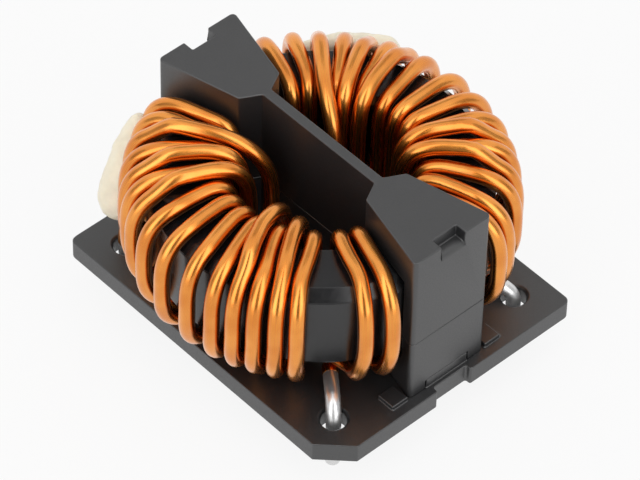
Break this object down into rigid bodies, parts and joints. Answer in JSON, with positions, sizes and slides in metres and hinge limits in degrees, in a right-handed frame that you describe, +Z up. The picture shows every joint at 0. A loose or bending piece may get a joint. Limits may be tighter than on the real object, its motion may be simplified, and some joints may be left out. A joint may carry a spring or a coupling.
{
  "type": "common mode choke",
  "caption": "Through-hole common mode choke: cased ring core with paired copper wire windings, kept apart by a dog-bone separator on a flat corner-keyed base plate.",
  "frame": {"origin": "centre of the base plate's underside, where it sits on the circuit board", "axes": "+X along the separator to the corner-keyed end, +Y across it, +Z up the ring's axis"},
  "size_m": [0.033, 0.0335, 0.0214],
  "materials": {
    "moulded_black": "fine moulded matte",
    "case_black": "satin gloss",
    "core_tape": "wound metal tape",
    "copper_enamel": "clear enamel over copper",
    "tinned_wire": "bright tin",
    "glue_cream": "cured glue"
  },
  "bodies": {
    "root": {"base_plate": "moulded_black", "lower_separator": "moulded_black", "upper_separator": "moulded_black", "ring_core": "core_tape", "case_cup": "case_black", "case_lid": "case_black", "winding_left": "copper_enamel", "winding_right": "copper_enamel", "lead_left_front": "tinned_wire", "lead_left_back": "tinned_wire", "lead_right_front": "tinned_wire", "lead_right_back": "tinned_wire", "glue_left": "glue_cream", "glue_right": "glue_cream"}
  },
  "joints": []
}
